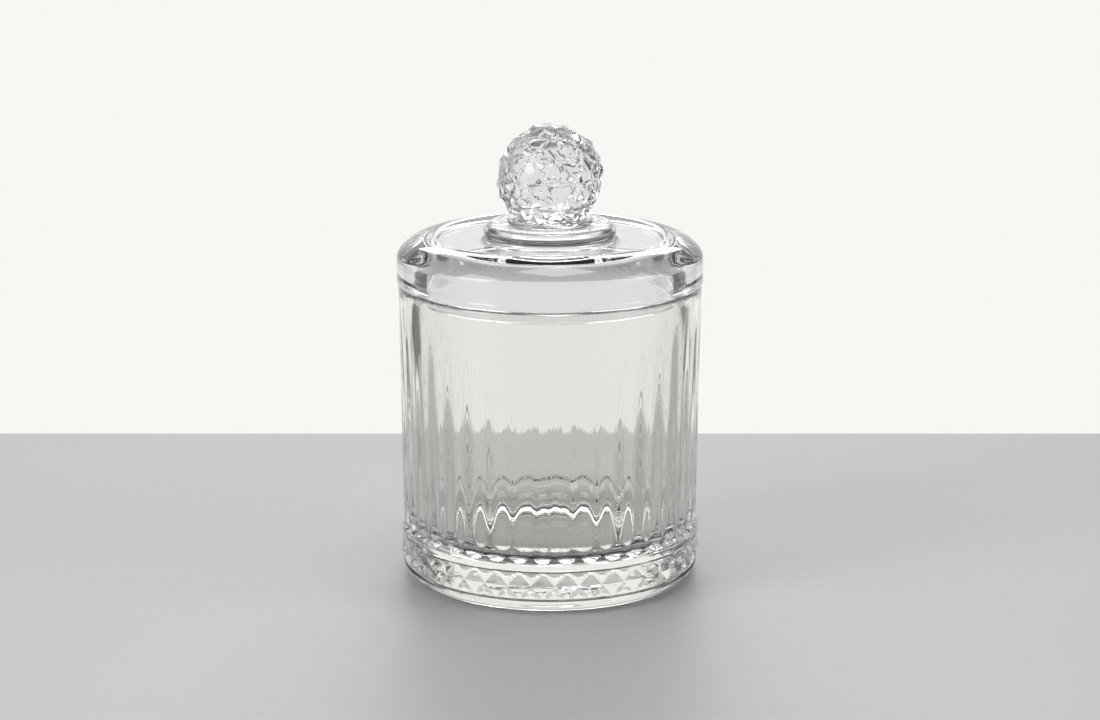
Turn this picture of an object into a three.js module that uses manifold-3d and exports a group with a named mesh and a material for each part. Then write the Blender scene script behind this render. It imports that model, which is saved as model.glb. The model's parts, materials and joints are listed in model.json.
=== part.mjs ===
// Powder jar in clear pressed glass: a fluted vessel with a diamond-cut base band, a hollow lid
// that lifts off, and a star-cut ball knob bonded into the lid's collar.
// Millimetres, +Z up, origin at the centre of the foot ring's resting plane.

import * as THREE from 'three';
import { mergeVertices } from 'three/addons/utils/BufferGeometryUtils.js';
import Module from 'manifold-3d';

const wasm = await Module();
wasm.setup();

// Vessel: outside
const bandRadius = 46.4; // base band, the widest part of the vessel
const footRadius = 40.8; // outer edge of the resting ring
const footRingWidth = 4.0;
const footRecess = 3.0; // hollow of the underside inside the resting ring
const footRecessCurve = 4.0; // width over which the hollow curves down to the resting ring
const footRounding = 7.4; // height over which the band curves in to the foot
const bandHeight = 16.0; // resting plane to the band's top edge
const bandLedge = 0.7; // step from the band in to the flutes' crests
const wallDraft = 0.9; // how much wider the wall's radius is at the rim than just above the band
const rimHeight = 92.3; // resting plane to the flat rim
const rimBand = 3.0; // plain band below the rim
const rimEase = 0.9; // rounding of the rim's two edges and of the lid's lower edge

// Vessel: cut pattern
const fluteCount = 40;
const fluteDepth = 1.15; // at the foot of a flute, which dies away to nothing at the plain band
const fluteEnd = 2.0; // length of a flute's rounded lower end
const diamondDepth = 0.45;
const diamondLow = 4.9; // resting plane to the row of diamonds
const diamondMargin = 2.9; // row of diamonds to the band's top edge
const firstCrest = 1.8; // degrees from -Y to the nearest crest

// Vessel: inside
const wall = 5.7; // outside to the bore, at the rim
const boreDraft = 2.0; // how much narrower the bore's radius is at the floor than at the rim
const floorHeight = 12.0; // resting plane to the inside floor
const floorFillet = 10.0;

// Lid
const seamGap = 0.3; // rim to the lid's flange
const lidOverhang = 0.4; // lid's edge beyond the rim
const lidWallHeight = 9.4; // flange to the corner of the wall and the shoulder
const browSize = 1.7; // rounding of that corner, down the wall and in along the shoulder
const shoulderRise = 5.4; // corner up to the shoulder's crest
const shoulderWidth = 10.4; // lid's edge in to the crest
const dishDepth = 1.3; // crest down to the dished centre
const dishSlope = 3.2; // crest in to the edge of the dished centre
const collarHeight = 5.0; // dished centre to the collar's top
const collarWidth = 4.8; // width of the bead around the knob's seat
const collarSeatDepth = 0.6;
const skirtClearance = 0.7; // skirt to the vessel's bore
const skirtDepth = 4.4; // below the flange
const skirtThickness = 2.2;
const topThickness = 3.2; // dished centre to the hollow's ceiling
const hollowFillet = 1.0;

// Knob and its bond
const bondThickness = 0.3;
const bondGap = 0.02; // glass to the cured film
const knobFootRadius = 13.2;
const seatClearance = 2.2; // knob's foot to the collar's bead
const knobFootHeight = 1.6;
const ballRadius = 16.7; // to the raised points
const starDepth = 0.8; // raised points to the star centres
const ballSink = 4.2; // how far the ball is cut off to stand on its foot
const ballTurn = 12; // degrees that the stars are turned about the knob's axis

const vesselColumns = fluteCount * 4;
const boreColumns = fluteCount * 2;
const lidColumns = 72;
const footColumns = 40;

const glass = (tint) => new THREE.MeshStandardMaterial({
  color: tint, roughness: 0.05, metalness: 0, transparent: true, opacity: 0.35,
});

// --- closed surface from rings ---------------------------------------------------------------

// A ring is a list of points at one level; two neighbouring rings have equal counts or 2 to 1.
function ringPoints(count, radiusAt, heightAt) {
  const points = [];
  for (let i = 0; i < count; i += 1) {
    const turn = i / count;
    const angle = -Math.PI / 2 + THREE.MathUtils.degToRad(firstCrest) + turn * 2 * Math.PI;
    const radius = radiusAt(turn);
    points.push([radius * Math.cos(angle), radius * Math.sin(angle), heightAt(turn)]);
  }
  return points;
}

function closedSurface(rings) {
  const positions = [];
  const starts = rings.map((ring) => {
    const start = positions.length / 3;
    ring.forEach((point) => positions.push(...point));
    return start;
  });
  const triangles = [];
  for (let r = 0; r + 1 < rings.length; r += 1) {
    stitch(triangles, positions, starts[r], rings[r].length, starts[r + 1], rings[r + 1].length);
  }
  const geometry = new THREE.BufferGeometry();
  geometry.setAttribute('position', new THREE.Float32BufferAttribute(positions, 3));
  geometry.setIndex(triangles);
  return geometry;
}

function stitch(triangles, positions, a, countA, b, countB) {
  if (countA === 1) {
    for (let i = 0; i < countB; i += 1) triangles.push(a, b + ((i + 1) % countB), b + i);
  } else if (countB === 1) {
    for (let i = 0; i < countA; i += 1) triangles.push(a + i, a + ((i + 1) % countA), b);
  } else if (countA === 2 * countB) {
    for (let i = 0; i < countB; i += 1) {
      const left = a + 2 * i;
      const middle = left + 1;
      const right = a + ((2 * i + 2) % countA);
      const inner = b + i;
      const next = b + ((i + 1) % countB);
      triangles.push(left, middle, inner, middle, next, inner, middle, right, next);
    }
  } else if (countB === 2 * countA) {
    for (let i = 0; i < countA; i += 1) {
      const inner = a + i;
      const next = a + ((i + 1) % countA);
      const left = b + 2 * i;
      const middle = left + 1;
      const right = b + ((2 * i + 2) % countB);
      triangles.push(inner, middle, left, inner, next, middle, next, right, middle);
    }
  } else {
    stitchEqual(triangles, positions, a, b, countA);
  }
}

// Each four-sided cell is split along its lower diagonal, so that the grooves stay sharp.
function stitchEqual(triangles, positions, a, b, count) {
  const radius = (index) => Math.hypot(positions[3 * index], positions[3 * index + 1]);
  for (let i = 0; i < count; i += 1) {
    const j = (i + 1) % count;
    if (radius(a + i) + radius(b + j) < radius(a + j) + radius(b + i)) {
      triangles.push(a + i, a + j, b + j, a + i, b + j, b + i);
    } else {
      triangles.push(a + i, a + j, b + i, a + j, b + j, b + i);
    }
  }
}

// --- vessel ----------------------------------------------------------------------------------

const rimRadius = bandRadius - bandLedge + wallDraft;
const boreRadius = rimRadius - wall;

// Outside of the wall over the flutes' crests, a little wider towards the rim.
function crestAt(height) {
  return rimRadius - (wallDraft * (rimHeight - height)) / (rimHeight - bandHeight);
}

// 0 on a crest, 1 along the middle of a flute.
function fluteAt(turn) {
  return 0.5 - 0.5 * Math.cos(2 * Math.PI * turn * fluteCount);
}

const diamondHeight = bandHeight - diamondMargin - diamondLow;
const diamondMiddle = diamondLow + diamondHeight / 2;

// 0 along the crossing grooves, 1 on a diamond's point.
function diamondAt(turn, height) {
  const around = turn * fluteCount;
  const up = (height - diamondMiddle) / diamondHeight;
  const saw = (x) => 2 * Math.abs(x - Math.round(x));
  return Math.min(saw(around + up), saw(around - up));
}

function jarBody() {
  const rings = [];
  const outside = (radius, height) => {
    rings.push(ringPoints(vesselColumns, () => radius, () => height));
  };
  const inside = (radius, height) => {
    rings.push(ringPoints(boreColumns, () => radius, () => height));
  };

  // underside: recess, then the flat resting ring
  const ringInside = footRadius - footRingWidth;
  rings.push([[0, 0, footRecess]]);
  inside(ringInside - footRecessCurve, footRecess);
  inside(ringInside - footRecessCurve * 0.3, footRecess * 0.72);
  inside(ringInside, 0);
  outside(footRadius, 0);

  // foot curving out to the band, then the row of diamonds
  const curve = (height) => {
    const share = Math.min(1, height / footRounding);
    return footRadius + (bandRadius - footRadius) * Math.sqrt(1 - (1 - share) ** 2);
  };
  outside(curve(diamondLow * 0.12), diamondLow * 0.12);
  outside(curve(diamondLow * 0.45), diamondLow * 0.45);
  for (let row = 0; row <= 4; row += 1) {
    const height = diamondLow + (row / 4) * diamondHeight;
    const cut = (turn) => curve(height) - diamondDepth * (1 - diamondAt(turn, height));
    rings.push(ringPoints(vesselColumns, cut, () => height));
  }
  outside(bandRadius, bandHeight - diamondMargin + diamondDepth);
  outside(bandRadius, bandHeight - bandLedge / 2);
  outside(crestAt(bandHeight), bandHeight);

  // flutes, deepest at their rounded lower ends and dying away upwards
  const fluteTop = rimHeight - rimBand;
  const flutes = (height, share) => {
    const depth = (share * fluteDepth * (fluteTop - height)) / (fluteTop - bandHeight);
    const cut = (turn) => crestAt(height) - depth * fluteAt(turn);
    rings.push(ringPoints(vesselColumns, cut, () => height));
  };
  flutes(bandHeight + fluteEnd * 0.4, 0.75);
  flutes(bandHeight + fluteEnd, 1);
  flutes((bandHeight + fluteTop) / 2, 1);
  outside(crestAt(fluteTop), fluteTop);

  // rim, bore and floor
  outside(rimRadius, rimHeight - rimEase);
  outside(rimRadius - rimEase, rimHeight);
  inside(boreRadius + rimEase, rimHeight);
  inside(boreRadius, rimHeight - rimEase);
  for (const degrees of [0, 30, 60, 90]) {
    const angle = THREE.MathUtils.degToRad(degrees);
    const inset = boreDraft + floorFillet * (1 - Math.cos(angle));
    inside(boreRadius - inset, floorHeight + floorFillet * (1 - Math.sin(angle)));
  }
  rings.push([[0, 0, floorHeight]]);
  return new THREE.Mesh(closedSurface(rings), glass(0xf4f8f8));
}

// --- lid -------------------------------------------------------------------------------------

const lidRadius = rimRadius + lidOverhang;
const collarSeatRadius = knobFootRadius + seatClearance;
const collarRadius = collarSeatRadius + collarWidth;
const seatHeight = rimHeight + seamGap; // the flange's lower face
const wallTop = seatHeight + lidWallHeight;
const crestHeight = wallTop + shoulderRise;
const dishHeight = crestHeight - dishDepth;
const collarTop = dishHeight + collarHeight;
const collarSeat = collarTop - collarSeatDepth;

function lathe(profile, segments) {
  const points = profile.map(([radius, height]) => new THREE.Vector2(radius, height));
  const geometry = new THREE.LatheGeometry(points, segments);
  geometry.rotateX(Math.PI / 2);
  return geometry;
}

// Points along a curve that leaves start towards corner and arrives at end from it, ends left out.
function bend(start, corner, end, steps) {
  const curve = new THREE.QuadraticBezierCurve(...[start, corner, end].map((p) => new THREE.Vector2(...p)));
  return curve.getPoints(steps).slice(1, -1).map((point) => point.toArray());
}

// Points along a quarter of an ellipse, ends left out.
function quarter(fromRadius, fromHeight, toRadius, toHeight, steps, startsUpright) {
  const points = [];
  for (let i = 1; i < steps; i += 1) {
    const angle = (i / steps) * Math.PI / 2;
    const slow = 1 - Math.cos(angle);
    const fast = Math.sin(angle);
    const across = startsUpright ? slow : fast;
    const up = startsUpright ? fast : slow;
    const radius = fromRadius + (toRadius - fromRadius) * across;
    points.push([radius, fromHeight + (toHeight - fromHeight) * up]);
  }
  return points;
}

function lid() {
  const skirtRadius = boreRadius - skirtClearance;
  const hollowRadius = skirtRadius - skirtThickness;
  const skirtFoot = seatHeight - skirtDepth;
  const ceiling = dishHeight - topThickness;
  const shoulderRadius = lidRadius - shoulderWidth;
  const dishRadius = shoulderRadius - dishSlope;
  const lip = skirtThickness / 3;
  const bead = collarHeight / 2;
  const start = [lidRadius, wallTop - browSize];
  const brow = [lidRadius - browSize, wallTop + browSize];
  const crest = [shoulderRadius, crestHeight];

  const profile = [
    [0, ceiling],
    [hollowRadius - hollowFillet, ceiling],
    ...quarter(hollowRadius - hollowFillet, ceiling, hollowRadius, ceiling - hollowFillet, 3, false),
    [hollowRadius, ceiling - hollowFillet],
    [hollowRadius, skirtFoot + lip],
    [hollowRadius + lip, skirtFoot],
    [skirtRadius - lip, skirtFoot],
    [skirtRadius, skirtFoot + lip],
    [skirtRadius, seatHeight],
    [lidRadius - rimEase, seatHeight],
    [lidRadius, seatHeight + rimEase],
    start,
    ...bend(start, [lidRadius, wallTop], brow, 3),
    brow,
    ...bend(brow, [brow[0] - 2 * browSize, brow[1] + 2 * browSize], crest, 5),
    crest,
    [(shoulderRadius + dishRadius) / 2, (crestHeight + dishHeight) / 2],
    [dishRadius, dishHeight],
    [collarRadius + bead * 0.4, dishHeight],
    [collarRadius, dishHeight + bead * 0.4],
    [collarRadius, dishHeight + bead],
    ...quarter(collarRadius, dishHeight + bead, collarSeatRadius + lip, collarTop, 3, true),
    [collarSeatRadius + lip, collarTop],
    [collarSeatRadius, collarSeat],
    [0, collarSeat],
  ];
  return new THREE.Mesh(lathe(profile, lidColumns), glass(0xf2f5f8));
}

// --- knob and bond ---------------------------------------------------------------------------

function asSolid(geometry) {
  const bare = new THREE.BufferGeometry();
  bare.setAttribute('position', geometry.getAttribute('position'));
  if (geometry.index) bare.setIndex(geometry.index);
  const merged = mergeVertices(bare, 1e-4);
  const mesh = new wasm.Mesh({
    numProp: 3,
    vertProperties: new Float32Array(merged.getAttribute('position').array),
    triVerts: new Uint32Array(merged.index.array),
  });
  return new wasm.Manifold(mesh);
}

function asGeometry(solid) {
  const mesh = solid.getMesh();
  const geometry = new THREE.BufferGeometry();
  geometry.setAttribute('position', new THREE.BufferAttribute(mesh.vertProperties, 3));
  geometry.setIndex(new THREE.BufferAttribute(mesh.triVerts, 1));
  return geometry;
}

// A ball whose star centres are the corners of a once-divided icosahedron, one of them on top,
// with a raised point over the middle of each triangle between them.
function starBall() {
  const blank = new THREE.IcosahedronGeometry(ballRadius - starDepth, 1);
  blank.rotateX(Math.atan(2 / (1 + Math.sqrt(5))));
  blank.rotateZ(THREE.MathUtils.degToRad(ballTurn));
  const corners = blank.getAttribute('position');
  const positions = [];
  for (let i = 0; i < corners.count; i += 3) {
    const [a, b, c] = [i, i + 1, i + 2].map((k) => new THREE.Vector3().fromBufferAttribute(corners, k));
    const point = a.clone().add(b).add(c).setLength(ballRadius);
    for (const [from, to] of [[a, b], [b, c], [c, a]]) {
      positions.push(...from.toArray(), ...to.toArray(), ...point.toArray());
    }
  }
  const geometry = new THREE.BufferGeometry();
  geometry.setAttribute('position', new THREE.Float32BufferAttribute(positions, 3));
  return geometry;
}

const footBottom = collarSeat + bondThickness + 2 * bondGap;
const footTop = footBottom + knobFootHeight;
const ballCentre = footTop + ballRadius - ballSink;

function knob() {
  const ball = starBall();
  ball.translate(0, 0, ballCentre);
  const below = lathe([
    [0, footTop - 2 * ballRadius],
    [2 * ballRadius, footTop - 2 * ballRadius],
    [2 * ballRadius, footTop - knobFootHeight / 2],
    [0, footTop - knobFootHeight / 2],
  ], footColumns);
  const ease = knobFootHeight / 3;
  const foot = lathe([
    [0, footBottom],
    [knobFootRadius - ease, footBottom],
    [knobFootRadius, footBottom + ease],
    [knobFootRadius, footTop - ease],
    [knobFootRadius - ease, footTop],
    [0, footTop],
  ], footColumns);
  const solid = asSolid(ball).subtract(asSolid(below)).add(asSolid(foot));
  return new THREE.Mesh(asGeometry(solid), glass(0xf0f4f8));
}

function knobBond() {
  const bottom = collarSeat + bondGap;
  const radius = knobFootRadius - knobFootHeight / 3;
  const profile = [[0, bottom], [radius, bottom], [radius, bottom + bondThickness], [0, bottom + bondThickness]];
  return new THREE.Mesh(lathe(profile, footColumns), glass(0xe8ecec));
}

// --- assembly --------------------------------------------------------------------------------

const group = new THREE.Group();
for (const [name, mesh] of [
  ['jar_body', jarBody()],
  ['lid', lid()],
  ['knob_bond', knobBond()],
  ['knob', knob()],
]) {
  mesh.name = name;
  group.add(mesh);
}

export default group;
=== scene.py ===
import json
import math

import bpy
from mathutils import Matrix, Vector

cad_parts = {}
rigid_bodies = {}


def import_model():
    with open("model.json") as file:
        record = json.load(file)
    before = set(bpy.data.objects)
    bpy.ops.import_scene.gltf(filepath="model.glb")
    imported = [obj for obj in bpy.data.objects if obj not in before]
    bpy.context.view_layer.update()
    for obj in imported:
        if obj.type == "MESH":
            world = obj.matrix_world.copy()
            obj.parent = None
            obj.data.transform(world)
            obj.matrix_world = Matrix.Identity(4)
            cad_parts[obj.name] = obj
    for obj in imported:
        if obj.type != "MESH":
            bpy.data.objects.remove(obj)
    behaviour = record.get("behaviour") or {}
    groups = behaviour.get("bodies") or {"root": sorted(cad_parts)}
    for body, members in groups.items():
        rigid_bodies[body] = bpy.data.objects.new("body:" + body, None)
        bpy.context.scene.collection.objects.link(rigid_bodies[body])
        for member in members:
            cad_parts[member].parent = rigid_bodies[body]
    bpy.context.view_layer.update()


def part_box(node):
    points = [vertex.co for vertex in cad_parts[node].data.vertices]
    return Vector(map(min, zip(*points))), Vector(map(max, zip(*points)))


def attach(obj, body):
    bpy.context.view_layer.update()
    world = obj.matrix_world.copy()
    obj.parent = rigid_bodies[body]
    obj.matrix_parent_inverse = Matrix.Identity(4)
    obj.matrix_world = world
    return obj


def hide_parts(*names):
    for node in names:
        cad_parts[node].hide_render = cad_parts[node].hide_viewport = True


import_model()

# ---------------------------------------------------------------------------------------------
# Camera: a little above the lid, looking gently down at the front of the jar.
# ---------------------------------------------------------------------------------------------
MM = 0.001
scene = bpy.context.scene

camera_distance = 836.0 * MM
camera_pitch = math.radians(13.54)
camera_target = Vector((0, 0, 67.56 * MM))

camera = bpy.data.objects.new("camera", bpy.data.cameras.new("camera"))
camera.data.lens = 88.36
camera.data.clip_start = 0.01
to_camera = Vector((0, -math.cos(camera_pitch), math.sin(camera_pitch)))
camera.location = camera_target + camera_distance * to_camera
camera.rotation_euler = (math.pi / 2 - camera_pitch, 0, 0)
scene.collection.objects.link(camera)
scene.camera = camera

# light crosses many glass surfaces here, so it is followed through more bounces than usual
scene.view_settings.view_transform = "Standard"
scene.cycles.max_bounces = 24
scene.cycles.transmission_bounces = 24
scene.cycles.glossy_bounces = 12


# ---------------------------------------------------------------------------------------------
# Studio: a pale table top, a cream wall behind it, upright dark and bright panels round the sides,
# soft lamps to the left, to the right and overhead, and a wide one high behind the jar.
# ---------------------------------------------------------------------------------------------
def calc(tree, operation, *values):
    """A Math node on these sockets or numbers; returns its output."""
    node = tree.nodes.new("ShaderNodeMath")
    node.operation = operation
    for socket, value in zip(node.inputs, values):
        if isinstance(value, (int, float)):
            socket.default_value = value
        else:
            tree.links.new(value, socket)
    return node.outputs[0]


def spread(tree, value, low, high):
    """Carries a value smoothly from 0 at low to 1 at high, held at both ends."""
    node = tree.nodes.new("ShaderNodeMapRange")
    node.interpolation_type = "SMOOTHSTEP"
    node.inputs["From Min"].default_value = low
    node.inputs["From Max"].default_value = high
    tree.links.new(value, node.inputs["Value"])
    return node.outputs["Result"]


def room():
    """A bright wall behind the jar, dark and bright panels round to the front, a dimmer ceiling."""
    # each stop is a direction, from 0 straight behind the jar to 1 at its front, and a brightness
    stops = [(0.0, 1.0), (0.19, 1.0), (0.23, 0.16), (0.31, 0.14), (0.35, 1.0), (0.42, 1.0), (0.46, 0.1),
             (0.58, 0.1), (0.62, 1.0), (0.70, 1.0), (0.74, 0.1), (1.0, 0.1)]
    ceiling_from = 0.40  # the upward part of a direction where the ceiling starts
    ceiling_to = 0.75  # and where nothing else is seen
    ceiling_level = 0.35

    world = bpy.data.worlds.new("room")
    scene.world = world
    world.use_nodes = True
    tree = world.node_tree
    background = tree.nodes["Background"]
    where = tree.nodes.new("ShaderNodeTexCoord").outputs["Generated"]
    split = tree.nodes.new("ShaderNodeSeparateXYZ")
    tree.links.new(where, split.inputs[0])
    x, y, z = split.outputs
    turn = calc(tree, "DIVIDE", calc(tree, "ARCTAN2", calc(tree, "ABSOLUTE", x), y), math.pi)
    panels = tree.nodes.new("ShaderNodeValToRGB")
    panels.color_ramp.interpolation = "EASE"
    ramp = panels.color_ramp.elements
    ramp.remove(ramp[1])
    ramp[0].color = (1.0, 1.0, 1.0, 1.0)
    for place, level in stops[1:]:
        ramp.new(place).color = (level, level, level, 1.0)
    tree.links.new(turn, panels.inputs["Fac"])
    ceiling = spread(tree, z, ceiling_from, ceiling_to)
    walls = calc(tree, "MULTIPLY", panels.outputs["Color"], calc(tree, "SUBTRACT", 1.0, ceiling))
    whole = calc(tree, "MULTIPLY_ADD", ceiling, ceiling_level, walls)
    tree.links.new(whole, background.inputs["Strength"])
    background.inputs["Color"].default_value = (0.93, 0.93, 0.90, 1.0)


def soft_lamp(name, place, aim, width, height, power):
    """A rectangular softbox that faces its aim; metres and watts."""
    lamp = bpy.data.objects.new(name, bpy.data.lights.new(name, "AREA"))
    lamp.data.shape = "RECTANGLE"
    lamp.data.size = width
    lamp.data.size_y = height
    lamp.data.energy = power
    lamp.location = place
    lamp.rotation_euler = (Vector(aim) - Vector(place)).to_track_quat("-Z", "Y").to_euler()
    scene.collection.objects.link(lamp)


def table():
    """A plain top that ends in a straight edge behind the jar; metres."""
    far_edge = 0.163
    reach = 3.0
    mesh = bpy.data.meshes.new("table")
    corners = [(-reach, -reach, 0), (reach, -reach, 0), (reach, far_edge, 0), (-reach, far_edge, 0)]
    mesh.from_pydata(corners, [], [(0, 1, 2, 3)])
    top = bpy.data.objects.new("table", mesh)
    scene.collection.objects.link(top)
    material = bpy.data.materials.new("table")
    material.use_nodes = True
    shader = material.node_tree.nodes["Principled BSDF"]
    shader.inputs["Base Color"].default_value = (0.45, 0.45, 0.445, 1.0)
    shader.inputs["Roughness"].default_value = 0.45
    mesh.materials.append(material)


room()
soft_lamp("window_left", (-0.9, -0.5, 0.75), (0, 0, 0.07), 0.55, 0.75, 5)
soft_lamp("window_right", (1.0, -0.25, 0.6), (0, 0, 0.08), 0.30, 0.60, 2)
soft_lamp("overhead", (0.05, -0.05, 1.1), (0, 0, 0.1), 0.45, 0.45, 3)
soft_lamp("high_back", (0.0, 1.25, 0.85), (0, 0, 0.03), 1.2, 0.35, 7)
table()


# ---------------------------------------------------------------------------------------------
# Jar body: one gather of clear glass pressed in a fluted mould, then fire-polished. Forty hollow
# flutes run up the wall, a row of cut-look diamonds goes round the thick base, and the inside is
# a plain bore with a rounded floor.
# ---------------------------------------------------------------------------------------------
_, jar_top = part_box("jar_body")
rim_radius = jar_top.x
rim_height = jar_top.z
rim_ease = 0.9 * MM
plain_rim = 3.0 * MM  # height of wall below the rim that the flutes don't reach
band_radius = rim_radius - 0.2 * MM
band_height = 16.0 * MM
band_ease = 0.45 * MM
crest_radius = band_radius - 0.7 * MM  # of the flutes' crests, where they stand on the band

foot_radius = 40.8 * MM
foot_ring = 4.0 * MM  # width of the flat ring that the jar stands on
foot_rounding = 7.4 * MM  # height over which the side swells out to the band
recess = 3.0 * MM
recess_curve = 4.0 * MM
bore_radius = rim_radius - 5.7 * MM
bore_draft = 2.0 * MM
floor_height = 12.0 * MM
floor_fillet = 10.0 * MM
first_ring = 1.0 * MM  # radius of the innermost ring of points on a flat face

cut_steps = 16  # mesh columns across one flute, and rows up one diamond
flute_count = 40
first_crest = math.radians(1.8) - math.pi / 2  # just to the right of the front
flute_depth = 1.15 * MM
flute_end = 2.2 * MM  # height of a flute's round foot
close_rows = 2.6 * MM  # height of wall with close rows of points, for those round feet
diamond_low = 4.9 * MM
diamond_height = 8.2 * MM
diamond_depth = 0.45 * MM
uncut_foot = 2.0 * MM
uncut_radius = bore_radius + 2.0 * MM  # nearer the axis than this, nothing is cut


def arc(centre_r, centre_z, radius, start, end, steps):
    """Points of an arc in the profile plane, angles in degrees from the +r direction."""
    angles = [math.radians(start + (end - start) * i / steps) for i in range(steps + 1)]
    return [(centre_r + radius * math.cos(a), centre_z + radius * math.sin(a)) for a in angles]


def along(start, end, steps):
    """Points along a straight stretch of profile, without its first one."""
    return [tuple(s + (e - s) * i / steps for s, e in zip(start, end)) for i in range(1, steps + 1)]


def bend(start, corner, end, steps):
    """Points of a curve that leaves start towards corner and arrives at end from it."""
    points = []
    for i in range(1, steps + 1):
        t = i / steps
        weights = ((1 - t) ** 2, 2 * t * (1 - t), t * t)
        points.append(tuple(sum(w * p[k] for w, p in zip(weights, (start, corner, end))) for k in range(2)))
    return points


def turned(name, profile, columns, first_angle=0.0):
    """A closed turned mesh from a profile that starts and ends on the axis.

    Its triangles lean the way the crossing cuts run, so that a cut follows their edges."""
    rows = profile[1:-1]
    angles = [first_angle + i * 2 * math.pi / columns for i in range(columns)]
    points = [(0, 0, profile[0][1])]
    for radius, height in rows:
        points += [(radius * math.cos(a), radius * math.sin(a), height) for a in angles]
    points.append((0, 0, profile[-1][1]))
    last = len(points) - 1
    faces = [(0, 1 + (i + 1) % columns, 1 + i) for i in range(columns)]
    for j in range(len(rows) - 1):
        low = 1 + j * columns
        for i in range(columns):
            k = (i + 1) % columns
            a, b, c, d = low + i, low + k, low + columns + k, low + columns + i
            if (i - j) % cut_steps == 0:
                faces += [(a, b, c), (a, c, d)]
            else:
                faces += [(a, b, d), (b, c, d)]
    top = 1 + (len(rows) - 1) * columns
    faces += [(top + i, top + (i + 1) % columns, last) for i in range(columns)]
    mesh = bpy.data.meshes.new(name)
    mesh.from_pydata(points, [], faces)
    piece = bpy.data.objects.new(name, mesh)
    scene.collection.objects.link(piece)
    return piece


class Cutter:
    """Builds a Geometry Nodes tree with named inputs that cuts or carves the piece it is put on."""

    def __init__(self, name, sizes):
        self.tree = bpy.data.node_groups.new(name, "GeometryNodeTree")
        self.tree.interface.new_socket("Geometry", in_out="INPUT", socket_type="NodeSocketGeometry")
        self.tree.interface.new_socket("Geometry", in_out="OUTPUT", socket_type="NodeSocketGeometry")
        self.sizes = sizes
        self.ids = {}
        for size in sizes:
            socket = self.tree.interface.new_socket(size, in_out="INPUT", socket_type="NodeSocketFloat")
            self.ids[size] = socket.identifier
        self.inputs = self.tree.nodes.new("NodeGroupInput").outputs

    def node(self, kind, **links):
        """A node whose inputs take these sockets or plain values."""
        made = self.tree.nodes.new(kind)
        for name, value in links.items():
            socket = made.inputs[name.replace("_", " ")]
            if isinstance(value, bpy.types.NodeSocket):
                self.tree.links.new(value, socket)
            else:
                socket.default_value = value
        return made

    def finish(self, geometry, material):
        """Crisp edges stay crisp, copies are made real, and the glass goes on."""
        angle = self.node("GeometryNodeInputMeshEdgeAngle").outputs["Unsigned Angle"]
        crease = calc(self.tree, "GREATER_THAN", angle, self.inputs["Crease angle"])
        smooth = calc(self.tree, "SUBTRACT", 1.0, crease)
        shade = self.node("GeometryNodeSetShadeSmooth", Geometry=geometry)
        shade.domain = "FACE"
        shade_edge = self.node("GeometryNodeSetShadeSmooth", Geometry=shade.outputs[0])
        shade_edge.domain = "EDGE"
        self.tree.links.new(smooth, shade_edge.inputs["Shade Smooth"])
        real = self.node("GeometryNodeRealizeInstances", Geometry=shade_edge.outputs[0])
        glazed = self.node("GeometryNodeSetMaterial", Geometry=real.outputs[0])
        glazed.inputs["Material"].default_value = material
        out = self.tree.nodes.new("NodeGroupOutput")
        self.tree.links.new(glazed.outputs[0], out.inputs[0])

    def cut(self, piece):
        """Runs the tree on the piece and leaves it a plain mesh."""
        modifier = piece.modifiers.new(self.tree.name, "NODES")
        modifier.node_group = self.tree
        for size, value in self.sizes.items():
            modifier[self.ids[size]] = value
        graph = bpy.context.evaluated_depsgraph_get()
        blank = piece.data
        mesh = bpy.data.meshes.new_from_object(piece.evaluated_get(graph), depsgraph=graph)
        piece.modifiers.clear()
        piece.data = mesh
        mesh.name = piece.name
        bpy.data.meshes.remove(blank)


def glass_skin():
    """Fire-polished skin shared by every glass here: slow ripples from the mould, and faint smears."""
    group = bpy.data.node_groups.new("glass skin", "ShaderNodeTree")
    takes = {"Place": "Vector", "Tint": "Color", "Ripples across": "Float", "Ripples up": "Float",
             "Haze": "Float"}
    gives = {"Colour": "Color", "Roughness": "Float", "Height": "Float"}
    for direction, sockets in (("INPUT", takes), ("OUTPUT", gives)):
        for name, kind in sockets.items():
            group.interface.new_socket(name, in_out=direction, socket_type="NodeSocket" + kind)
    given = group.nodes.new("NodeGroupInput").outputs
    result = group.nodes.new("NodeGroupOutput").inputs

    stretch = group.nodes.new("ShaderNodeCombineXYZ")
    for axis, source in zip(stretch.inputs, ("Ripples across", "Ripples across", "Ripples up")):
        group.links.new(given[source], axis)
    place = group.nodes.new("ShaderNodeVectorMath")
    place.operation = "MULTIPLY"
    group.links.new(given["Place"], place.inputs[0])
    group.links.new(stretch.outputs[0], place.inputs[1])
    ripple = group.nodes.new("ShaderNodeTexNoise")
    ripple.inputs["Scale"].default_value = 1.0
    ripple.inputs["Detail"].default_value = 1.5
    group.links.new(place.outputs[0], ripple.inputs["Vector"])
    group.links.new(ripple.outputs["Fac"], result["Height"])

    smear = group.nodes.new("ShaderNodeTexNoise")
    smear.inputs["Scale"].default_value = 60
    smear.inputs["Detail"].default_value = 5.0
    group.links.new(given["Place"], smear.inputs["Vector"])
    smeared = spread(group, smear.outputs["Fac"], 0.45, 0.75)
    group.links.new(calc(group, "MULTIPLY", smeared, given["Haze"]), result["Roughness"])
    darker = group.nodes.new("ShaderNodeMix")
    darker.data_type = "RGBA"
    darker.blend_type = "MULTIPLY"
    darker.inputs["B"].default_value = (0.985, 0.985, 0.985, 1.0)
    group.links.new(smear.outputs["Fac"], darker.inputs["Factor"])
    group.links.new(given["Tint"], darker.inputs["A"])
    group.links.new(darker.outputs["Result"], result["Colour"])
    return group


skin = glass_skin()


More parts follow.
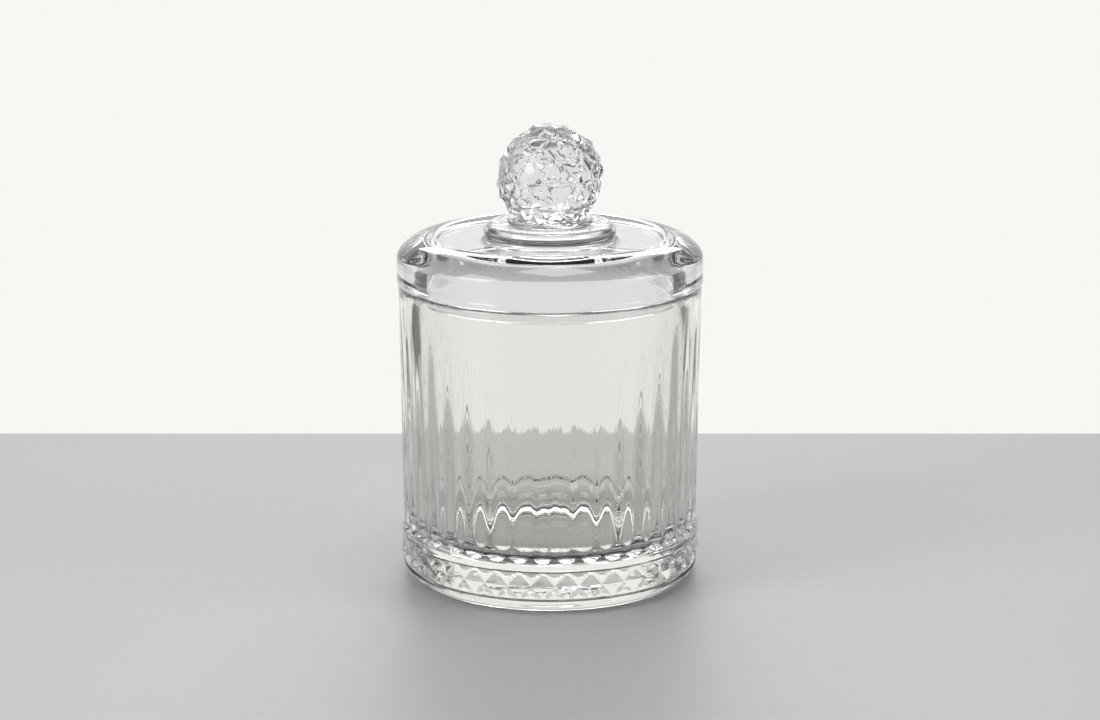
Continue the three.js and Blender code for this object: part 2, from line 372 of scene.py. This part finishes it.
def glass(name, tint, ripples_across, ripples_up, ripple_depth, haze):
    """Clear pressed glass with this tint, these ripples to the metre, and this much haze."""
    material = bpy.data.materials.new(name)
    material.use_nodes = True
    tree = material.node_tree
    shader = tree.nodes["Principled BSDF"]
    shader.inputs["Transmission Weight"].default_value = 1.0
    shader.inputs["IOR"].default_value = 1.51
    finish = tree.nodes.new("ShaderNodeGroup")
    finish.node_tree = skin
    finish.inputs["Tint"].default_value = (*tint, 1.0)
    finish.inputs["Ripples across"].default_value = ripples_across
    finish.inputs["Ripples up"].default_value = ripples_up
    finish.inputs["Haze"].default_value = haze
    tree.links.new(tree.nodes.new("ShaderNodeTexCoord").outputs["Object"], finish.inputs["Place"])
    bump = tree.nodes.new("ShaderNodeBump")
    bump.inputs["Strength"].default_value = 1.0
    bump.inputs["Distance"].default_value = ripple_depth
    tree.links.new(finish.outputs["Height"], bump.inputs["Height"])
    tree.links.new(bump.outputs["Normal"], shader.inputs["Normal"])
    tree.links.new(finish.outputs["Roughness"], shader.inputs["Roughness"])
    tree.links.new(finish.outputs["Colour"], shader.inputs["Base Color"])
    return material


def foot_curve(height):
    """Radius of the base's rounded side at a height, before the diamonds are cut."""
    share = min(1.0, height / foot_rounding)
    return foot_radius + (band_radius - foot_radius) * math.sqrt(1 - (1 - share) ** 2)


def jar_profile():
    # the recess underneath, and the ring round it
    inner_foot = foot_radius - foot_ring
    points = [(0, recess)]
    points += along((first_ring, recess), (inner_foot - recess_curve, recess), 6)
    points += bend(points[-1], (inner_foot - 0.5 * MM, recess), (inner_foot, 0), 12)
    points += along((inner_foot, 0), (foot_radius - 0.2 * MM, 0), 4)

    # the side below the diamonds, their rows, and the plain band above them
    points += [(foot_curve(h), h) for h in (diamond_low * (i / 14) ** 2 for i in range(1, 14))]
    step = diamond_height / cut_steps
    points += [(foot_curve(h), h) for h in (diamond_low + i * step for i in range(cut_steps + 1))]
    groove = diamond_low + diamond_height
    points += [(band_radius, groove + f * MM) for f in (0.15, 0.3, 0.45, 0.6, 0.8, 1.0, 1.5)]
    points += arc(band_radius - band_ease, band_height - band_ease, band_ease, 0, 90, 5)
    points += along(points[-1], (crest_radius, band_height), 2)

    # the wall, which widens a little to the rim
    end = band_height + close_rows
    widening = (rim_radius - crest_radius) * (end - band_height) / (rim_height - band_height)
    end_radius = crest_radius + widening
    points += along((crest_radius, band_height), (end_radius, end), 12)
    points += along((end_radius, end), (rim_radius, rim_height - rim_ease), 24)

    # the rim, the bore and the floor
    points += arc(rim_radius - rim_ease, rim_height - rim_ease, rim_ease, 0, 90, 5)[1:]
    points += along(points[-1], (bore_radius + rim_ease, rim_height), 3)
    points += arc(bore_radius + rim_ease, rim_height - rim_ease, rim_ease, 90, 180, 5)[1:]
    floor_radius = bore_radius - bore_draft
    points += along(points[-1], (floor_radius, floor_height + floor_fillet), 20)
    points += arc(floor_radius - floor_fillet, floor_height + floor_fillet, floor_fillet, 0, -90, 12)[1:]
    points += along(points[-1], (first_ring, floor_height), 6)
    points += [(0, floor_height)]
    return points


def flute_and_diamond_cutter(material):
    edge_slope = 3.5  # how steeply a facet falls to the row's top and bottom edges
    ledge_slope = 12.0  # how steeply the cut dies away beyond them
    least_radius = 1e-6  # keeps the points on the axis from being divided by nothing
    flute_top = rim_height - plain_rim
    cutter = Cutter("flutes and diamonds", {
        "Flutes": flute_count,
        "First crest": first_crest,
        "Flute depth": flute_depth,
        "Flute foot": band_height,
        "Flute end": flute_end,
        "Flute top": flute_top,
        "Flute fade": flute_top - band_height,
        "Diamond depth": diamond_depth,
        "Diamond low": diamond_low,
        "Diamond height": diamond_height,
        "Bore": uncut_radius,
        "Crease angle": math.radians(11),
    })
    tree = cutter.tree
    size = cutter.inputs
    place = cutter.node("GeometryNodeInputPosition").outputs[0]
    split = cutter.node("ShaderNodeSeparateXYZ", Vector=place)
    x, y, z = split.outputs
    squares = calc(tree, "ADD", calc(tree, "MULTIPLY", x, x), calc(tree, "MULTIPLY", y, y))
    radius = calc(tree, "SQRT", squares)
    angle = calc(tree, "SUBTRACT", calc(tree, "ARCTAN2", y, x), size["First crest"])
    around = calc(tree, "MULTIPLY", calc(tree, "DIVIDE", angle, 2 * math.pi), size["Flutes"])

    # a flute: a smooth wave across its width, round at its foot, dying away at its top
    across = calc(tree, "SUBTRACT", calc(tree, "MULTIPLY", calc(tree, "FRACT", around), 2.0), 1.0)
    low = calc(tree, "SUBTRACT", calc(tree, "ADD", size["Flute foot"], size["Flute end"]), z)
    low = calc(tree, "MAXIMUM", calc(tree, "DIVIDE", low, size["Flute end"]), 0.0)
    swell = calc(tree, "COSINE", calc(tree, "MULTIPLY", across, math.pi))
    wave = calc(tree, "MULTIPLY_ADD", swell, 0.5, 0.5)
    bowl = calc(tree, "SUBTRACT", wave, calc(tree, "MULTIPLY", low, low))
    bowl = calc(tree, "MAXIMUM", bowl, 0.0)
    fade = calc(tree, "DIVIDE", calc(tree, "SUBTRACT", size["Flute top"], z), size["Flute fade"])
    fade = calc(tree, "MAXIMUM", fade, 0.0)
    above = calc(tree, "GREATER_THAN", z, size["Flute foot"])
    flute = calc(tree, "MULTIPLY", calc(tree, "MULTIPLY", bowl, fade), size["Flute depth"])
    flute = calc(tree, "MULTIPLY", flute, above)

    # a diamond: four facets between two families of slanting grooves, cut off by a ring above
    up = calc(tree, "DIVIDE", calc(tree, "SUBTRACT", z, size["Diamond low"]), size["Diamond height"])
    up = calc(tree, "SUBTRACT", up, 0.5)

    def facet(value):
        """Rises from 0 in a groove to 1 half way to the next."""
        return calc(tree, "MULTIPLY", calc(tree, "PINGPONG", value, 0.5), 2.0)

    rising = facet(calc(tree, "ADD", around, up))
    falling = facet(calc(tree, "SUBTRACT", around, up))
    from_middle = calc(tree, "ABSOLUTE", up)
    to_edge = calc(tree, "MULTIPLY", calc(tree, "SUBTRACT", 0.5, from_middle), edge_slope)
    rise = calc(tree, "MINIMUM", rising, falling)
    rise = calc(tree, "MINIMUM", rise, calc(tree, "MAXIMUM", to_edge, 0.0))
    past = calc(tree, "MULTIPLY", calc(tree, "SUBTRACT", from_middle, 0.5), ledge_slope)
    ledge = calc(tree, "MINIMUM", calc(tree, "MAXIMUM", past, 0.0), 1.0)
    diamond = calc(tree, "SUBTRACT", calc(tree, "SUBTRACT", 1.0, rise), ledge)
    diamond = calc(tree, "MULTIPLY", diamond, size["Diamond depth"])
    diamond = calc(tree, "MAXIMUM", diamond, 0.0)

    # every point on the outside moves straight in by the depth of the cut there
    outer = calc(tree, "GREATER_THAN", radius, size["Bore"])
    off_foot = calc(tree, "GREATER_THAN", z, uncut_foot)
    in_base = calc(tree, "MULTIPLY", calc(tree, "SUBTRACT", 1.0, above), off_foot)
    cut = calc(tree, "ADD", flute, calc(tree, "MULTIPLY", diamond, in_base))
    cut = calc(tree, "MULTIPLY", cut, outer)
    whole = calc(tree, "MAXIMUM", radius, least_radius)
    keep = calc(tree, "DIVIDE", calc(tree, "SUBTRACT", radius, cut), whole)
    kept_x = calc(tree, "MULTIPLY", x, keep)
    kept_y = calc(tree, "MULTIPLY", y, keep)
    moved = cutter.node("ShaderNodeCombineXYZ", X=kept_x, Y=kept_y, Z=z)
    shaped = cutter.node("GeometryNodeSetPosition", Geometry=size["Geometry"], Position=moved.outputs[0])
    cutter.finish(shaped.outputs[0], material)
    return cutter


jar_glass = glass("jar_glass", tint=(0.95, 0.955, 0.94), ripples_across=70, ripples_up=18,
                  ripple_depth=0.14 * MM, haze=0.03)
jar = turned("jar_glass_body", jar_profile(), flute_count * cut_steps, first_crest)
flute_and_diamond_cutter(jar_glass).cut(jar)
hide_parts("jar_body")
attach(jar, "jar")


# ---------------------------------------------------------------------------------------------
# Lid: one pressed piece. Its flange rests on the rim and a short skirt drops inside it; the
# shoulder is a raised round ring about a dished centre, and a bead stands round the knob's seat.
# ---------------------------------------------------------------------------------------------
lid_low, lid_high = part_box("lid")
lid_radius = lid_high.x
seam_gap = 0.3 * MM  # between the rim and the flange
wall_height = 9.4 * MM
brow_size = 1.7 * MM  # rounding between the lid's wall and its shoulder
shoulder_rise = 5.4 * MM
shoulder_width = 10.4 * MM
dish_depth = 1.3 * MM
dish_slope = 3.2 * MM  # width of the slope from the shoulder down into the dish
lid_seat = rim_height + seam_gap
wall_top = lid_seat + wall_height
shoulder_crest = wall_top + shoulder_rise
dish = shoulder_crest - dish_depth

skirt_clearance = 0.7 * MM
skirt_thickness = 2.2 * MM
skirt_tip = 0.8 * MM
skirt_fillet = 0.3 * MM
top_thickness = 3.2 * MM
hollow_fillet = 1.0 * MM

collar_top = lid_high.z
collar_radius = 20.2 * MM
collar_fillet = 1.0 * MM
collar_swell = 0.3 * MM
seat_depth = 0.6 * MM
knob_seat = collar_top - seat_depth
seat_radius = 15.4 * MM


def lid_profile():
    # the hollow, the skirt's round tip, and the flange
    skirt_radius = bore_radius - skirt_clearance
    hollow_radius = skirt_radius - skirt_thickness
    ceiling = dish - top_thickness
    points = [(0, ceiling)]
    points += along((first_ring, ceiling), (hollow_radius - hollow_fillet, ceiling), 8)
    points += arc(hollow_radius - hollow_fillet, ceiling - hollow_fillet, hollow_fillet, 90, 0, 10)[1:]
    points += along(points[-1], (hollow_radius, lid_low.z + skirt_tip), 6)
    points += arc(hollow_radius + skirt_tip, lid_low.z + skirt_tip, skirt_tip, 180, 270, 6)[1:]
    points += along(points[-1], (skirt_radius - skirt_tip, lid_low.z), 2)
    points += arc(skirt_radius - skirt_tip, lid_low.z + skirt_tip, skirt_tip, -90, 0, 6)[1:]
    points += along(points[-1], (skirt_radius, lid_seat - skirt_fillet), 3)
    points += bend(points[-1], (skirt_radius, lid_seat), (skirt_radius + skirt_fillet, lid_seat), 4)
    points += along(points[-1], (lid_radius - rim_ease, lid_seat), 3)
    points += arc(lid_radius - rim_ease, lid_seat + rim_ease, rim_ease, -90, 0, 6)[1:]

    # the wall, the shoulder, and the slope down into the dish
    brow = (lid_radius - brow_size, wall_top + brow_size)
    crest = (lid_radius - shoulder_width, shoulder_crest)
    dish_radius = crest[0] - dish_slope
    points += along(points[-1], (lid_radius, wall_top - brow_size), 6)
    points += bend(points[-1], (lid_radius, wall_top), brow, 12)
    points += bend(brow, (brow[0] - 2 * brow_size, brow[1] + 2 * brow_size), crest, 20)
    slope = ((crest[0] + dish_radius) / 2, (shoulder_crest + dish) / 2)
    points += bend(crest, (slope[0] + 0.7 * MM, shoulder_crest + 0.05 * MM), slope, 8)
    points += bend(slope, (slope[0] - 0.7 * MM, dish), (dish_radius, dish), 8)

    # the bead: a small fillet, a side that swells and leans in, a round top, and the seat inside
    points += along(points[-1], (collar_radius + collar_fillet, dish), 6)
    fillet_top = (collar_radius, dish + collar_fillet)
    points += bend(points[-1], (collar_radius + 0.2 * MM, dish), fillet_top, 6)
    middle = (dish + collar_fillet + collar_top) / 2
    side = (collar_radius - collar_swell, middle + 0.6 * MM)
    points += bend(points[-1], (collar_radius + collar_swell, middle), side, 8)
    top_inside = (seat_radius + 2.0 * MM, collar_top)
    points += bend(points[-1], (collar_radius - 1.0 * MM, collar_top), top_inside, 12)
    points += bend(points[-1], (seat_radius, collar_top), (seat_radius, knob_seat), 8)
    points += along(points[-1], (first_ring, knob_seat), 6)
    points += [(0, knob_seat)]
    return points


def plain_finish(name, material, crease):
    """A tree that only sets crisp edges and the material, for a turned piece."""
    cutter = Cutter(name, {"Crease angle": crease})
    cutter.finish(cutter.inputs["Geometry"], material)
    return cutter


lid_glass = glass("lid_glass", tint=(0.90, 0.90, 0.92), ripples_across=25, ripples_up=90,
                  ripple_depth=0.08 * MM, haze=0.02)
lid = turned("lid_glass_cover", lid_profile(), 288)
plain_finish("lid finish", lid_glass, math.radians(25)).cut(lid)
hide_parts("lid")
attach(lid, "lid")


# ---------------------------------------------------------------------------------------------
# Knob: a moulded clear ball covered in star cuts, standing on a short round foot. Each star's
# centre is a hollow point, and a sharp point stands between every three stars.
# ---------------------------------------------------------------------------------------------
knob_low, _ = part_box("knob")
knob_foot = knob_low.z
foot_height = 1.6 * MM
foot_width = 13.2 * MM  # radius of the foot
foot_ease = 0.5 * MM
foot_top = knob_foot + foot_height
ball_radius = 16.7 * MM
ball_sink = 4.2 * MM  # how far below the foot's top the whole ball would reach
ball_centre = foot_top + ball_radius - ball_sink
ball_turn = math.radians(12)
star_depth = 0.8 * MM
point_rise = 1.0 * MM
ray_height = 0.5 * MM
weld = 0.01 * MM  # points closer than this become one
block_size = 80.0 * MM  # of the block that cuts the ball flat


def star_cutter(material):
    cutter = Cutter("star cuts", {
        "Star radius": ball_radius - star_depth,
        "Point radius": ball_radius,
        "Ball centre": ball_centre,
        "Ray height": ray_height,
        "Cut height": knob_foot + foot_height / 2,
        "Crease angle": math.radians(8),
    })
    tree = cutter.tree
    size = cutter.inputs

    def peaks(mesh, height):
        """Draws every facet of a mesh up to a point over its middle."""
        raised = cutter.node("GeometryNodeExtrudeMesh", Mesh=mesh, Offset_Scale=height)
        raised.inputs["Individual"].default_value = True
        gathered = cutter.node("GeometryNodeScaleElements", Geometry=raised.outputs["Mesh"],
                               Selection=raised.outputs["Top"], Scale=0.0)
        merged = cutter.node("GeometryNodeMergeByDistance", Geometry=gathered.outputs[0], Distance=weld)
        return merged.outputs[0]

    def join(operation):
        """A Boolean node for closed solids."""
        made = cutter.node("GeometryNodeMeshBoolean")
        made.operation = operation
        made.solver = "MANIFOLD"
        return made

    # the points between the stars go out to the ball's full radius, then every facet gets its rays
    ball = cutter.node("GeometryNodeMeshIcoSphere", Radius=size["Star radius"], Subdivisions=2)
    place = cutter.node("GeometryNodeInputPosition").outputs[0]
    length = cutter.node("ShaderNodeVectorMath")
    length.operation = "LENGTH"
    tree.links.new(place, length.inputs[0])
    limit = calc(tree, "ADD", size["Star radius"], weld)
    is_point = calc(tree, "GREATER_THAN", length.outputs["Value"], limit)
    stretch = calc(tree, "DIVIDE", size["Point radius"], length.outputs["Value"])
    stretched = cutter.node("ShaderNodeVectorMath")
    stretched.operation = "SCALE"
    tree.links.new(place, stretched.inputs[0])
    tree.links.new(stretch, stretched.inputs["Scale"])
    pointed = cutter.node("GeometryNodeSetPosition", Geometry=peaks(ball.outputs["Mesh"], point_rise),
                          Selection=is_point, Position=stretched.outputs[0])
    rayed = peaks(pointed.outputs[0], size["Ray height"])
    lift = cutter.node("ShaderNodeCombineXYZ", Z=size["Ball centre"])
    lifted = cutter.node("GeometryNodeTransform", Geometry=rayed, Translation=lift.outputs[0],
                         Rotation=(0, 0, ball_turn - math.pi / 2))

    # cut flat half way down the foot, then joined to it
    block = cutter.node("GeometryNodeMeshCube", Size=(block_size, block_size, block_size))
    block_centre = calc(tree, "SUBTRACT", size["Cut height"], block_size / 2)
    sink = cutter.node("ShaderNodeCombineXYZ", Z=block_centre)
    below = cutter.node("GeometryNodeTransform", Geometry=block.outputs["Mesh"],
                        Translation=sink.outputs[0])
    flat = join("DIFFERENCE")
    tree.links.new(lifted.outputs[0], flat.inputs["Mesh 1"])
    tree.links.new(below.outputs[0], flat.inputs["Mesh 2"])
    footed = join("UNION")
    tree.links.new(flat.outputs["Mesh"], footed.inputs["Mesh 2"])
    tree.links.new(size["Geometry"], footed.inputs["Mesh 2"])
    cutter.finish(footed.outputs["Mesh"], material)
    return cutter


def foot_profile():
    points = [(0, knob_foot)]
    points += along((first_ring, knob_foot), (foot_width - foot_ease, knob_foot), 3)
    points += arc(foot_width - foot_ease, knob_foot + foot_ease, foot_ease, -90, 0, 5)[1:]
    points += along(points[-1], (foot_width, foot_top - foot_ease), 2)
    points += arc(foot_width - foot_ease, foot_top - foot_ease, foot_ease, 0, 90, 5)[1:]
    points += along(points[-1], (first_ring, foot_top), 3)
    points += [(0, foot_top)]
    return points


knob_glass = glass("knob_glass", tint=(0.84, 0.84, 0.86), ripples_across=90, ripples_up=90,
                   ripple_depth=0.03 * MM, haze=0.4)
knob = turned("star_cut_knob", foot_profile(), 96)
star_cutter(knob_glass).cut(knob)
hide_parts("knob")
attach(knob, "lid")


# ---------------------------------------------------------------------------------------------
# Bond: a film of clear adhesive between the knob's foot and its seat, a little hazier than the glass on
# either side of it, with a grey tint that is painted shade, so that it shows as a thin dark line for the
# shadow under the foot's rounded edge.
# ---------------------------------------------------------------------------------------------
bond_low, bond_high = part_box("knob_bond")


def bond_profile():
    radius = bond_high.x
    middle = (bond_low.z + bond_high.z) / 2
    half = (bond_high.z - bond_low.z) / 2
    points = [(0, bond_low.z)]
    points += along((first_ring, bond_low.z), (radius - half, bond_low.z), 3)
    points += arc(radius - half, middle, half, -90, 90, 8)[1:]
    points += along(points[-1], (first_ring, bond_high.z), 3)
    points += [(0, bond_high.z)]
    return points


# the grey tint is painted shade for the shadow under the knob's foot; the haze is the film's own
bond_glass_with_painted_shade = glass("clear_bond", tint=(0.86, 0.87, 0.86), ripples_across=300, ripples_up=300,
                   ripple_depth=0.02 * MM, haze=0.25)
bond = turned("knob_bond_film", bond_profile(), 96)
plain_finish("bond finish", bond_glass_with_painted_shade, math.radians(40)).cut(bond)
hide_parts("knob_bond")
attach(bond, "lid")
